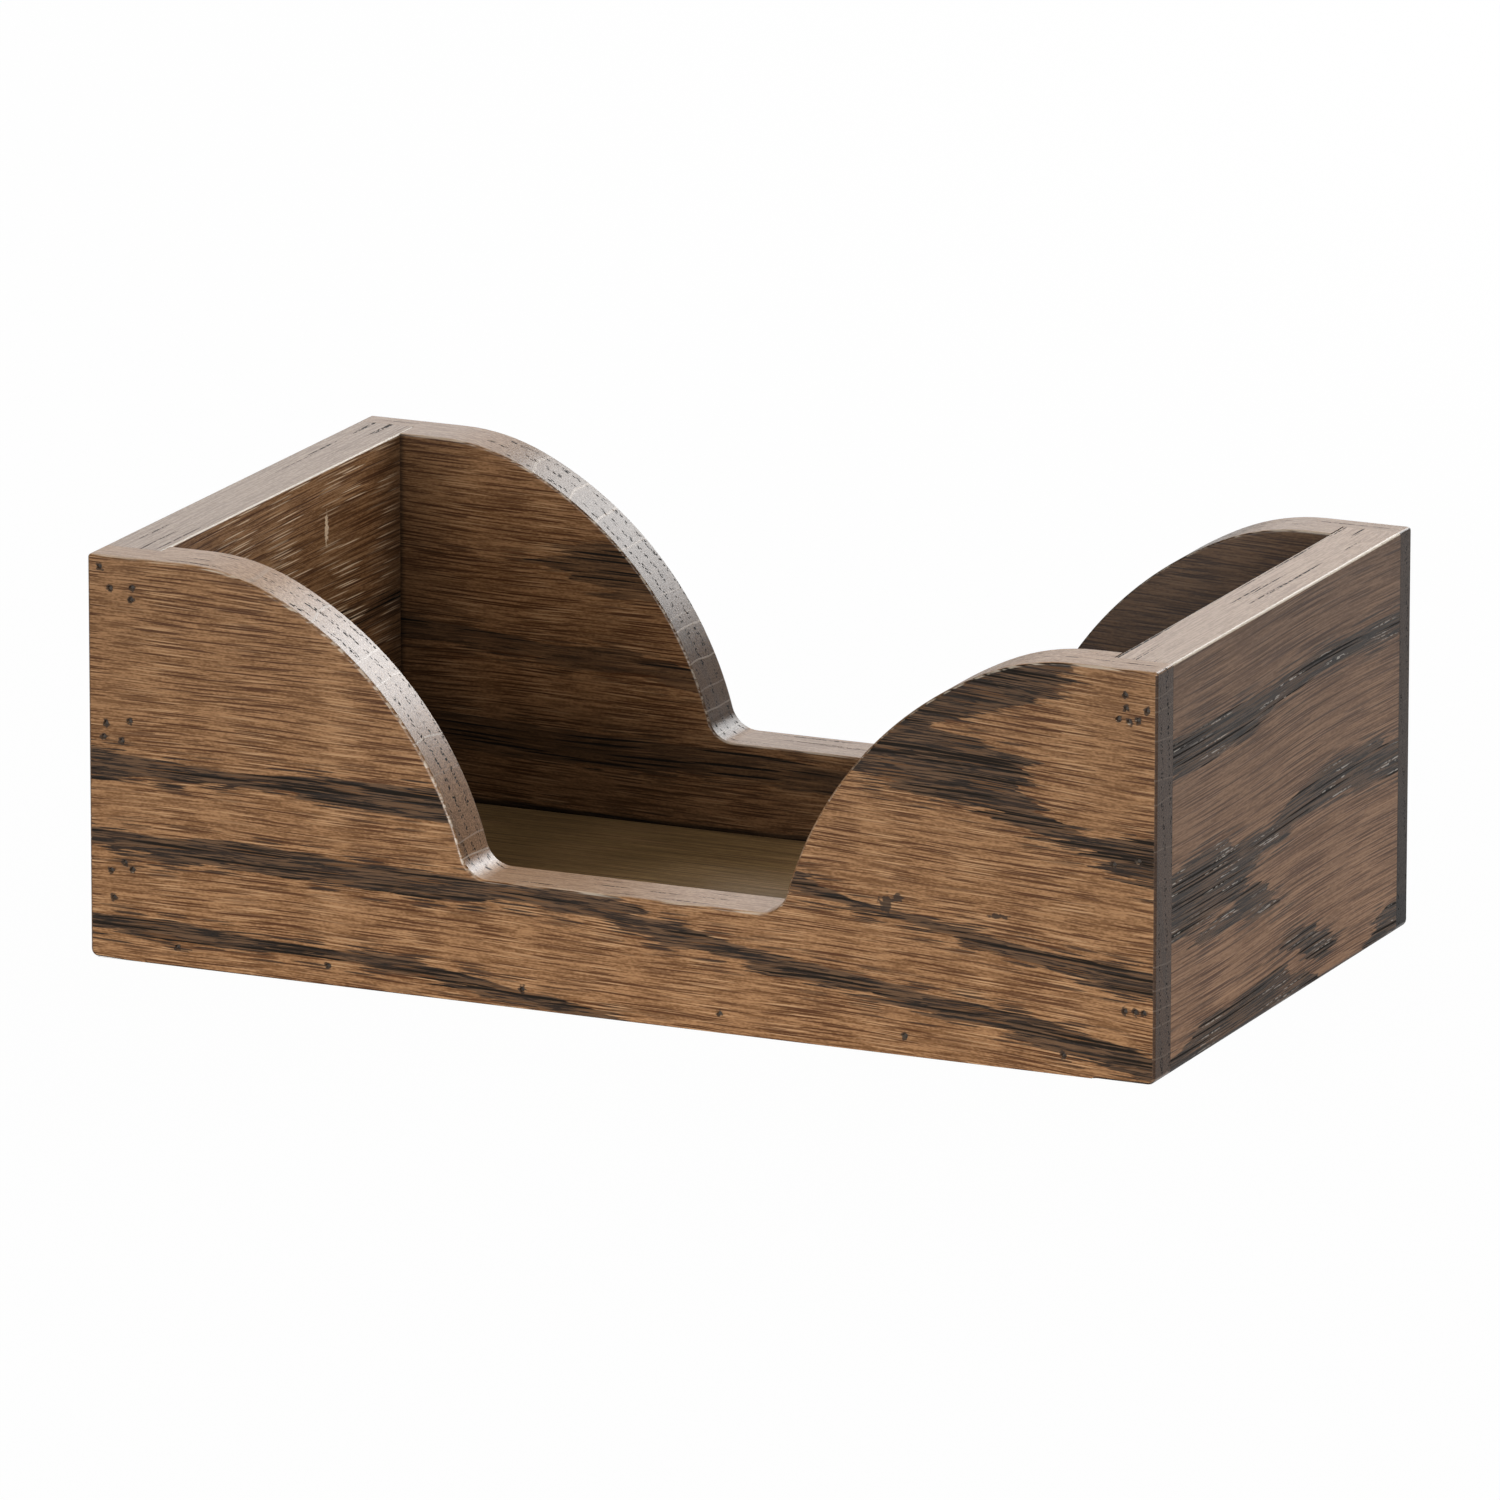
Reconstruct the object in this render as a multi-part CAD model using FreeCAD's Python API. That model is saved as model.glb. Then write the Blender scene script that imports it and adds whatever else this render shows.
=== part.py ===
import FreeCAD, Part
import math
import os

# Open-topped holder for folded napkins or guest towels, made from five oak boards.
# The front and back boards have two rounded lobes with a low notch between them for the hand.
# Their ends are rabbeted on the inside to take the two end boards, the floor panel drops in between
# all four, and every joint is glued and pinned with brads whose heads are set below the surface.
# Millimetres. +X along the length, +Y towards the back, +Z up. The origin is the middle of the
# footprint, on the surface that the holder stands on.

# Overall
length = 235.0
depth = 133.0
height = 84.3

# Boards and corner joints
board_thickness = 12.7
front_lip = 8.2            # wood that the front rabbets leave over the end boards' front ends
back_lip = 6.0             # the same at the back, where the rabbets are deeper

# Outline of the front and back boards
shoulder_width = 27.7      # from the board's end to where a centred lobe's arc meets the level top
lobe_start_angle = 15.7    # slope of the lobe's arc at the level top, in degrees
shoulder_radius = 45.0     # rounds the meeting of level top and lobe
notch_width = 69.4         # between the lobes' arcs at the notch floor
notch_height = 25.8        # notch floor above the table
notch_offset = 1.7         # the lobes and the notch lie this far to the right of the middle
foot_radius = 6.0          # rounds the meeting of lobe and notch floor

# Eased edges
outer_easing = 0.7
inner_easing = 0.5

# Floor panel
floor_thickness = 6.35
floor_recess = 0.45        # underside of the panel above the table
floor_gap = 0.25           # all round, between the panel and the four boards

# Brads
brad_length = 25.4
brad_width = 1.02
brad_height = 1.27
brad_point = 1.9           # length of the chisel point
brad_edge = 0.3            # thickness left at the point's edge
head_width = 1.6
head_height = 1.28
head_thickness = 0.8
head_set = 0.5             # top of the head below the board's face
pit_overrun = 1.0          # the tool that cuts the pit over a head starts this far outside the face

# Brads in each corner, as (offset from the end board's mid-thickness towards the middle of the
# holder, offset from a level), in three groups: down from the top, up from mid-height, up from z = 0.
front_left_top = [(-3.65, 2.4), (-1.25, 6.7), (3.65, 6.1), (3.45, 8.6)]
front_left_middle = [(-2.35, 7.2), (2.95, 8.1), (-2.85, 4.3), (1.15, 3.8)]
front_left_bottom = [(1.65, 20.5), (3.35, 19.2), (-1.45, 18.6), (-0.85, 13.0)]
front_right_top = [(0.55, 5.1), (0.25, 7.9), (-4.25, 7.9), (1.95, 10.2), (-0.45, 10.5), (-2.25, 10.1)]
front_right_middle = [(-2.6, 3.4), (2.7, 2.2)]
front_right_bottom = [(0.05, 14.6), (-2.15, 14.6), (-3.95, 14.6)]
back_top = [(-2.4, 6.2), (2.3, 7.4)]
back_middle = [(-2.2, 2.6), (2.5, 1.1)]
back_bottom = [(-2.6, 15.2), (2.1, 14.1)]

# Brads that pin the floor panel: a row along the front and the back, near enough evenly spaced
floor_brad_inset = 19.8    # first and last brad from the board's ends
floor_brad_lift = 0.4      # above the panel's mid-thickness
front_row_wander = [-0.1, -5.3, -1.0, 3.5, 5.0, 0.2]
back_row_wander = [1.4, -2.2, 2.9, -1.6, 3.1, -0.8]

tolerance = 0.001

half_length = length / 2
half_depth = depth / 2
inner_half_length = half_length - board_thickness
inner_half_depth = half_depth - board_thickness


def on_outline(x, z):
    return FreeCAD.Vector(x, 0, z)


def lobe_circle():
    # Centre and radius of a centred right lobe, from its two ends and its slope at the level top
    rise = height - notch_height
    run = half_length - shoulder_width - notch_width / 2
    start = math.radians(lobe_start_angle)
    radius = math.hypot(run, rise) / (2 * math.sin(math.atan2(rise, run) - start))
    centre_x = half_length - shoulder_width + radius * math.sin(start)
    centre_z = height - radius * math.cos(start)
    return on_outline(centre_x, centre_z), radius


def blend_centre(lobe_centre, distance, level):
    # Centre of a blend whose centre lies at a level, at a distance from the lobe's centre
    reach = math.sqrt(distance ** 2 - (level - lobe_centre.z) ** 2)
    return on_outline(lobe_centre.x - reach, level)


def arc(centre, start, end):
    # The shorter arc about a centre, from start to end
    middle_way = (start - centre) + (end - centre)
    middle = centre + middle_way.normalize() * (start - centre).Length
    return Part.Arc(start, middle, end).toShape()


def right_lobe():
    # Edges of the centred right lobe, with its ends at the level top and at the notch floor
    lobe_centre, lobe_radius = lobe_circle()
    shoulder = blend_centre(lobe_centre, lobe_radius - shoulder_radius, height - shoulder_radius)
    foot = blend_centre(lobe_centre, lobe_radius + foot_radius, notch_height + foot_radius)
    shoulder_start = on_outline(shoulder.x, height)
    shoulder_end = lobe_centre + (shoulder - lobe_centre).normalize() * lobe_radius
    foot_start = lobe_centre + (foot - lobe_centre).normalize() * lobe_radius
    foot_end = on_outline(foot.x, notch_height)
    edges = [
        arc(shoulder, shoulder_start, shoulder_end),
        arc(lobe_centre, shoulder_end, foot_start),
        arc(foot, foot_start, foot_end),
    ]
    return edges, shoulder_start, foot_end


def board_outline():
    # Both lobes, moved sideways together, joined by the notch floor and by the board's straight sides
    right, shoulder_start, foot_end = right_lobe()
    left = [edge.mirror(FreeCAD.Vector(0, 0, 0), FreeCAD.Vector(1, 0, 0)) for edge in right]
    edges = [edge.translated(on_outline(notch_offset, 0)) for edge in left + right]
    straight_sides = [
        on_outline(notch_offset - shoulder_start.x, height),
        on_outline(-half_length, height),
        on_outline(-half_length, 0),
        on_outline(half_length, 0),
        on_outline(half_length, height),
        on_outline(notch_offset + shoulder_start.x, height),
    ]
    edges += [Part.makeLine(start, end) for start, end in zip(straight_sides, straight_sides[1:])]
    notch_floor = [on_outline(notch_offset + side * foot_end.x, notch_height) for side in (-1, 1)]
    edges.append(Part.makeLine(*notch_floor))
    return Part.Wire(Part.__sortEdges__(edges))


def scalloped_blank(face_y):
    # A full-length board with the lobed outline, its outer face at face_y and its thickness inwards
    inwards = -math.copysign(board_thickness, face_y)
    blank = Part.Face(board_outline()).extrude(FreeCAD.Vector(0, inwards, 0))
    return blank.translated(FreeCAD.Vector(0, face_y, 0))


def span_box(low_x, high_x, low_y, high_y, low_z, high_z):
    corner = FreeCAD.Vector(low_x, low_y, low_z)
    return Part.makeBox(high_x - low_x, high_y - low_y, high_z - low_z, corner)


def end_board_blank(side):
    # side is -1 for the left end and 1 for the right; it fills the rabbets of both long boards
    inner_x = side * inner_half_length
    outer_x = side * half_length
    front_y = -half_depth + front_lip
    back_y = half_depth - back_lip
    return span_box(min(inner_x, outer_x), max(inner_x, outer_x), front_y, back_y, 0, height)


def near(value, target):
    return abs(value - target) < tolerance


def edges_where(shape, test):
    return [edge for edge in shape.Edges if test(edge.BoundBox)]


def eased_long_board(face_y):
    # Front or back board: rabbeted ends, every edge of the outer face and both end corners eased,
    # and the inner edge of the outline eased between the rabbets
    board = scalloped_blank(face_y)
    for side in (-1, 1):
        board = board.cut(end_board_blank(side))
    inner_y = math.copysign(inner_half_depth, face_y)

    def is_outer(box):
        on_face = near(box.YMin, face_y) and near(box.YMax, face_y)
        at_end = near(abs(box.XMin), half_length) and near(box.XMin, box.XMax)
        level = near(box.ZMin, box.ZMax)
        return on_face or (at_end and level)

    def is_inner(box):
        on_face = near(box.YMin, inner_y) and near(box.YMax, inner_y)
        return on_face and box.ZMin > notch_height - tolerance

    board = board.makeFillet(outer_easing, edges_where(board, is_outer))
    return board.makeFillet(inner_easing, edges_where(board, is_inner))


def eased_end_board(side):
    board = end_board_blank(side)
    outer_x = side * half_length
    inner_x = side * inner_half_length

    def is_outer(box):
        at_face = near(box.XMin, outer_x) and near(box.XMax, outer_x)
        return at_face and near(box.ZMin, box.ZMax)

    def is_inner(box):
        at_face = near(box.XMin, inner_x) and near(box.XMax, inner_x)
        return at_face and near(box.ZMin, height)

    board = board.makeFillet(outer_easing, edges_where(board, is_outer))
    return board.makeFillet(inner_easing, edges_where(board, is_inner))


def floor_blank():
    reach_x = inner_half_length - floor_gap
    reach_y = inner_half_depth - floor_gap
    top = floor_recess + floor_thickness
    return span_box(-reach_x, reach_x, -reach_y, reach_y, floor_recess, top)


def brad(face_y, x, z):
    # Flat-sided collated brad, driven in from the face at face_y, with a chisel point
    half = brad_height / 2
    shank_end = head_set + brad_length - brad_point
    side_view = [
        (head_set, -half),
        (shank_end, -half),
        (head_set + brad_length, -brad_edge / 2),
        (head_set + brad_length, brad_edge / 2),
        (shank_end, half),
        (head_set, half),
    ]
    points = [FreeCAD.Vector(-brad_width / 2, y, up) for y, up in side_view]
    shank = Part.Face(Part.makePolygon(points + points[:1])).extrude(FreeCAD.Vector(brad_width, 0, 0))
    head = head_block(head_set, head_set + head_thickness)
    return placed_in_face(shank.fuse(head).removeSplitter(), face_y, x, z)


def head_block(start, end):
    return span_box(-head_width / 2, head_width / 2, start, end, -head_height / 2, head_height / 2)


def brad_pit(face_y, x, z):
    # The small pit that is left over a head when it is driven below the face
    return placed_in_face(head_block(-pit_overrun, head_set), face_y, x, z)


def placed_in_face(shape, face_y, x, z):
    # Modelled driven along +Y; the back board's brads are turned to go in along -Y
    if face_y > 0:
        shape = shape.mirror(FreeCAD.Vector(0, 0, 0), FreeCAD.Vector(0, 1, 0))
    return shape.translated(FreeCAD.Vector(x, face_y, z))


def corner_places(side, top, middle, bottom):
    # (x, z) of a corner's brads; side is -1 at the left end and 1 at the right
    joint_middle = half_length - board_thickness / 2
    places = [(joint_middle - across, height - down) for across, down in top]
    places += [(joint_middle - across, height / 2 + up) for across, up in middle]
    places += [(joint_middle - across, up) for across, up in bottom]
    return [(side * x, z) for x, z in places]


def row_places(wander):
    # (x, z) of the brads along one edge of the floor panel
    pitch = (length - 2 * floor_brad_inset) / (len(wander) - 1)
    z = floor_recess + floor_thickness / 2 + floor_brad_lift
    start = floor_brad_inset - half_length
    return [(start + index * pitch + shift, z) for index, shift in enumerate(wander)]


def all_brad_places():
    # Node name to the face that its brads enter and their places in it
    front_left = corner_places(-1, front_left_top, front_left_middle, front_left_bottom)
    front_right = corner_places(1, front_right_top, front_right_middle, front_right_bottom)
    back_left = corner_places(-1, back_top, back_middle, back_bottom)
    back_right = corner_places(1, back_top, back_middle, back_bottom)
    return {
        "front_left_corner_brads": (-half_depth, front_left),
        "front_right_corner_brads": (-half_depth, front_right),
        "back_left_corner_brads": (half_depth, back_left),
        "back_right_corner_brads": (half_depth, back_right),
        "floor_front_brads": (-half_depth, row_places(front_row_wander)),
        "floor_back_brads": (half_depth, row_places(back_row_wander)),
    }


def build():
    boards = {
        "front_board": eased_long_board(-half_depth),
        "back_board": eased_long_board(half_depth),
        "left_end_board": eased_end_board(-1),
        "right_end_board": eased_end_board(1),
        "floor_panel": floor_blank(),
    }
    brad_groups = {}
    for node, (face_y, places) in all_brad_places().items():
        brads = [brad(face_y, x, z) for x, z in places]
        pits = [brad_pit(face_y, x, z) for x, z in places]
        brad_groups[node] = Part.makeCompound(brads)
        for name, board in boards.items():
            near_tools = [tool for tool in brads + pits if tool.BoundBox.intersect(board.BoundBox)]
            if near_tools:
                boards[name] = board.cut(near_tools)
    return {**boards, **brad_groups}


def export(nodes):
    os.makedirs("parts", exist_ok=True)
    for node, shape in nodes.items():
        shape.exportStep(os.path.join("parts", node + ".step"))
        print(node, len(shape.Solids), "solids, valid:", shape.isValid(), "volume:", round(shape.Volume, 1))


export(build())
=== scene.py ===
import math
import random

import bmesh
import bpy
from mathutils import Matrix, Vector


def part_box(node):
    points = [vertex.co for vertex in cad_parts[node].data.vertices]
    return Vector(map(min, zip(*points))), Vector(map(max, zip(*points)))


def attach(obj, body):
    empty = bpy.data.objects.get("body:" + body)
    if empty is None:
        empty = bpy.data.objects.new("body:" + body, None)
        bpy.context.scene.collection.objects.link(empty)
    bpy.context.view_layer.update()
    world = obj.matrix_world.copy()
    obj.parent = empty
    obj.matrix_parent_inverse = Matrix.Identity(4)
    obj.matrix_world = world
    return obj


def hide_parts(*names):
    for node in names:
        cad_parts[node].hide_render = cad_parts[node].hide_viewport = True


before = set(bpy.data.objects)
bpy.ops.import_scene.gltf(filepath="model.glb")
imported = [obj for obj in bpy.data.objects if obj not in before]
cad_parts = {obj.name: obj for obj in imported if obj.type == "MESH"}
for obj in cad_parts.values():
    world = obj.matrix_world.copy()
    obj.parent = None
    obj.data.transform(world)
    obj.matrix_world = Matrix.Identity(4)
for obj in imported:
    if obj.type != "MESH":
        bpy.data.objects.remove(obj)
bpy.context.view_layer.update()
mm = 0.001


# helpers for node trees: a value is a number, a tuple or another node's output
def feed(tree, socket, value):
    if isinstance(value, bpy.types.NodeSocket):
        tree.links.new(value, socket)
    else:
        socket.default_value = value


def maths(tree, operation, *values, clamp=False):
    node = tree.nodes.new("ShaderNodeMath")
    node.operation = operation
    node.use_clamp = clamp
    for socket, value in zip(node.inputs, values):
        feed(tree, socket, value)
    return node.outputs[0]


def vectorMaths(tree, operation, *values):
    node = tree.nodes.new("ShaderNodeVectorMath")
    node.operation = operation
    for socket, value in zip(node.inputs, values):
        feed(tree, socket, value)
    return node.outputs[0]


def lengthOf(tree, vector):
    node = tree.nodes.new("ShaderNodeVectorMath")
    node.operation = "LENGTH"
    feed(tree, node.inputs[0], vector)
    return node.outputs["Value"]


def between(tree, value, low, high, smooth=True):
    # 0 below low, 1 above high; low may be the larger, which turns it round
    node = tree.nodes.new("ShaderNodeMapRange")
    node.interpolation_type = "SMOOTHSTEP" if smooth else "LINEAR"
    feed(tree, node.inputs["Value"], value)
    feed(tree, node.inputs["From Min"], low)
    feed(tree, node.inputs["From Max"], high)
    return node.outputs["Result"]


def scaleTo(tree, value, low, high):
    # 0..1 to low..high
    return maths(tree, "MULTIPLY_ADD", value, high - low, low)


def rgba(colour):
    if isinstance(colour, tuple) and len(colour) == 3:
        return (*colour, 1.0)
    return colour


def tint(tree, factor, first, second, mode="MIX"):
    node = tree.nodes.new("ShaderNodeMix")
    node.data_type = "RGBA"
    node.blend_type = mode
    feed(tree, node.inputs["Factor"], factor)
    feed(tree, node.inputs["A"], rgba(first))
    feed(tree, node.inputs["B"], rgba(second))
    return node.outputs["Result"]


def noise(tree, point, perMm, detail=2.0, roughness=0.5, shift=(0, 0, 0)):
    node = tree.nodes.new("ShaderNodeTexNoise")
    feed(tree, node.inputs["Vector"], vectorMaths(tree, "MULTIPLY_ADD", point, perMm, shift))
    node.inputs["Scale"].default_value = 1.0
    node.inputs["Detail"].default_value = detail
    node.inputs["Roughness"].default_value = roughness
    return node.outputs["Fac"]


def nearest(tree, dimensions, socket, place):
    # distance from, and a random number of, the nearest of many scattered points
    node = tree.nodes.new("ShaderNodeTexVoronoi")
    node.voronoi_dimensions = "%dD" % dimensions
    feed(tree, node.inputs[socket], place)
    node.inputs["Scale"].default_value = 1.0
    split = tree.nodes.new("ShaderNodeSeparateColor")
    tree.links.new(node.outputs["Color"], split.inputs[0])
    return node.outputs["Distance"], split.outputs[0]


def spindles(tree, point, cell, shift=(0, 0, 0)):
    # the nearest of points that lie one to a cell; a cell's sides are in mm
    perMm = [1 / side for side in cell] + [1.0] * (3 - len(cell))
    return nearest(tree, len(cell), "Vector", vectorMaths(tree, "MULTIPLY_ADD", point, perMm, shift))


def spotMask(tree, distance, pick, spot):
    # 1 in the middle of the picked cells
    return maths(tree, "MULTIPLY", between(tree, distance, *spot["edge"]), between(tree, pick, *spot["pick"]))


def splitXyz(tree, vector):
    node = tree.nodes.new("ShaderNodeSeparateXYZ")
    feed(tree, node.inputs[0], vector)
    return node.outputs


def joinXyz(tree, x, y, z):
    node = tree.nodes.new("ShaderNodeCombineXYZ")
    for socket, value in zip(node.inputs, (x, y, z)):
        feed(tree, socket, value)
    return node.outputs[0]


def newGroup(name, inputs, outputs):
    tree = bpy.data.node_groups.new(name, "ShaderNodeTree")
    for label, kind in inputs.items():
        tree.interface.new_socket(label, in_out="INPUT", socket_type="NodeSocket" + kind)
    for label, kind in outputs.items():
        tree.interface.new_socket(label, in_out="OUTPUT", socket_type="NodeSocket" + kind)
    return tree, tree.nodes.new("NodeGroupInput").outputs, tree.nodes.new("NodeGroupOutput").inputs


def useGroup(tree, group, **values):
    node = tree.nodes.new("ShaderNodeGroup")
    node.node_tree = group
    for label, value in values.items():
        feed(tree, node.inputs[label], value)
    return node.outputs


# lengths are in mm; perMm is how fast a noise changes along, into and across the grain
oakFigure = {
    "lean": 4.5,          # across the face that the rings move for each mm of depth
    "tear": 7.0,          # along the grain that a band's edges are torn
    "torn": 6.5,          # up the board that a band's lower edge is torn
    "crisp": 1.6,         # and its upper edge
    "deepLean": 12.0,     # up the board for each mm that the rings inside it come forward
    "ringPitch": 3.9,     # between them through the thickness
    "ringWidth": 1.0,
    "skin": 1.6,          # from the show face to the first of them
    "grainWander": 1.8,   # how far the grain, the bands and the rings stray from the run
    "bandWander": 0.8,
    "ringWander": 1.2,
    "wave": {"perMm": (0.014, 0.06, 0.05), "detail": 1.0},
    "tearing": {"perMm": (0.02, 0.5, 0.5), "detail": 3.0, "roughness": 0.6},
    "clouds": {
        "Feather": {"perMm": (0.06, 0.9, 1.1), "detail": 2.5, "roughness": 0.6, "shift": (31.0, 7.39, 3.0)},
        "Fibre": {"perMm": (0.12, 2.6, 3.2), "detail": 2.0, "roughness": 0.7, "shift": (5.0, 11.43, 2.0)},
        "Mottle": {"perMm": (0.03, 0.1, 0.16), "detail": 2.0, "roughness": 0.55, "shift": (17.0, 3.41, 9.0)},
        "Streaks": {"perMm": (0.12, 2.2, 2.6), "detail": 2.0, "roughness": 0.65, "shift": (3.0, 19.4, 23.0)},
        "Grit": {"perMm": (1.4, 2.0, 3.4), "detail": 0.0, "roughness": 0.5, "shift": (7.0, 2.45, 5.0)},
    },
    # edge: distances at which a spot begins and is full
    # pick: random numbers of the cells that have none and a full one
    "spots": {
        "plainRays": {"cell": (24.0, 0.6), "edge": (0.29, 0.2), "pick": (0.05, 0.7), "shift": (0, 0, 0)},
        "shortRays": {"cell": (13.0, 0.5), "edge": (0.32, 0.2), "pick": (0.2, 1.1), "shift": (3, 6, 2)},
        "longRays": {"cell": (44.0, 0.9), "edge": (0.22, 0.14), "pick": (0.2, 0.6), "shift": (9, 4, 6)},
        "Glints": {"cell": (20.0, 0.5), "edge": (0.3, 0.14), "pick": (0.2, 0.9), "shift": (14, 2, 8)},
        "Fringe": {"cell": (11.0, 0.55), "edge": (0.42, 0.25), "pick": (0.3, 0.5), "shift": (1, 8, 5)},
        "Flecks": {"cell": (15.0, 0.66), "edge": (0.26, 0.13), "pick": (0.25, 0.7), "shift": (5, 2, 7)},
        "Pores": {"cell": (30.0, 0.66, 0.66), "edge": (0.42, 0.3), "pick": (0.15, 0.3), "shift": (2, 8, 5)},
        "EndPores": {"cell": (10.0, 0.9, 0.9), "edge": (0.36, 0.27), "pick": (0.3, 0.4), "shift": (7, 3, 1)},
    },
    "crossRays": {"spacing": 4.6, "edge": (0.05, 0.02), "pick": (0.0, 0.6)},
}


def buildOakFigure(o):
    # Point is in mm: x along the grain, y into the board from its show face, z across
    tree, given, result = newGroup(
        "oakFigure",
        {"Point": "Vector", "Run": "Float", "Seed": "Vector", "RingShift": "Float", "Squeeze": "Float"},
        dict.fromkeys(("Along", "Across", "Deep", "Rays", "CrossRays", "Glints", "Fringe", "Flecks", "Pores",
                       "EndPores", "Feather", "Fibre", "Mottle", "Streaks", "Grit"), "Float"))
    x, y, z = splitXyz(tree, given["Point"])
    level = maths(tree, "SUBTRACT", z, given["Run"])          # the grain follows the board's run
    squeezed = maths(tree, "MULTIPLY", x, given["Squeeze"])
    straight = vectorMaths(tree, "ADD", joinXyz(tree, squeezed, y, level), given["Seed"])
    wave = noise(tree, straight, **o["wave"])
    wander = scaleTo(tree, wave, -o["grainWander"], o["grainWander"])
    grain = vectorMaths(tree, "ADD", straight, joinXyz(tree, 0.0, 0.0, wander))
    grainX, _, grainZ = splitXyz(tree, grain)
    flat = joinXyz(tree, grainX, grainZ, 0.0)

    tearing = noise(tree, grain, **o["tearing"])
    feed(tree, result["Along"], maths(tree, "ADD", x, scaleTo(tree, tearing, -2 * o["tear"], 2 * o["tear"])))
    across = maths(tree, "MULTIPLY_ADD", y, o["lean"], z)
    across = maths(tree, "ADD", across, scaleTo(tree, wave, -o["bandWander"], o["bandWander"]))
    feed(tree, result["Across"], across)
    for label, cloud in o["clouds"].items():
        feed(tree, result[label], noise(tree, grain, **cloud))

    spots = {}
    for label, spot in o["spots"].items():
        point = flat if len(spot["cell"]) == 2 else grain
        spots[label] = spotMask(tree, *spindles(tree, point, spot["cell"], spot["shift"]), spot)
    rays = maths(tree, "MAXIMUM", spots.pop("shortRays"), spots.pop("plainRays"))
    feed(tree, result["Rays"], maths(tree, "MAXIMUM", rays, spots.pop("longRays")))
    for label, mask in spots.items():
        feed(tree, result[label], mask)
    crossing = nearest(tree, 1, "W", maths(tree, "DIVIDE", grainZ, o["crossRays"]["spacing"]))
    feed(tree, result["CrossRays"], spotMask(tree, *crossing, o["crossRays"]))

    ring = maths(tree, "MULTIPLY_ADD", level, 1 / o["deepLean"], y)
    stray = scaleTo(tree, wave, -o["ringWander"], o["ringWander"])
    ring = maths(tree, "ADD", ring, maths(tree, "ADD", stray, given["RingShift"]))
    turn = maths(tree, "FRACT", maths(tree, "DIVIDE", ring, o["ringPitch"]))
    turn = maths(tree, "MULTIPLY", turn, o["ringPitch"])
    inside = maths(tree, "MINIMUM", turn, maths(tree, "SUBTRACT", o["ringWidth"], turn))
    feed(tree, result["Deep"], maths(tree, "MINIMUM", inside, maths(tree, "SUBTRACT", y, o["skin"])))
    return tree


lineTop = 100.0           # mm up the board where a line's curve reads 1
noBand = -9.0             # a depth in mm that stands for no band at all


def edgeLine(tree, along, points, reach):
    # height of a given line over the board, in mm, at a place along it
    node = tree.nodes.new("ShaderNodeFloatCurve")
    feed(tree, node.inputs["Value"], maths(tree, "DIVIDE", along, reach))
    line = node.mapping.curves[0]
    scaled = [(px / reach, pz / lineTop) for px, pz in points]
    line.points[0].location = scaled[0]
    line.points[1].location = scaled[-1]
    for place in scaled[1:-1]:
        line.points.new(*place)
    node.mapping.use_clip = False
    node.mapping.update()
    return maths(tree, "MULTIPLY", node.outputs[0], lineTop)


def depthInBand(tree, figure, band, reach):
    # mm inside a dark band between two lines, less than 0 outside it; its lower side is the more torn
    upper = edgeLine(tree, figure["Along"], band["upper"], reach)
    lower = edgeLine(tree, figure["Along"], band["lower"], reach)
    feather = maths(tree, "SUBTRACT", figure["Feather"], 0.5)
    above = maths(tree, "SUBTRACT", figure["Across"], lower)
    above = maths(tree, "MULTIPLY_ADD", feather, band.get("torn", oakFigure["torn"]), above)
    below = maths(tree, "SUBTRACT", upper, figure["Across"])
    below = maths(tree, "MULTIPLY_ADD", feather, band.get("crisp", oakFigure["crisp"]), below)
    depth = maths(tree, "MINIMUM", above, below)
    if "thin" in band:
        depth = maths(tree, "MINIMUM", depth, edgeLine(tree, figure["Along"], band["thin"], reach))
    return depth


def depthInBands(tree, figure, board, y):
    # mm inside the nearest of a board's bands, but not where a clear patch lies over it
    depth = noBand
    for band in board["bands"]:
        inside = depthInBand(tree, figure, band, board["reach"])
        if "reachIn" in band:
            inside = maths(tree, "MINIMUM", inside, maths(tree, "SUBTRACT", band["reachIn"], y))
        depth = maths(tree, "MAXIMUM", depth, inside)
    for band in board["clear"]:
        gap = depthInBand(tree, figure, band, board["reach"])
        depth = maths(tree, "MINIMUM", depth, maths(tree, "MULTIPLY", gap, -1.0))
    return depth


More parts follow.
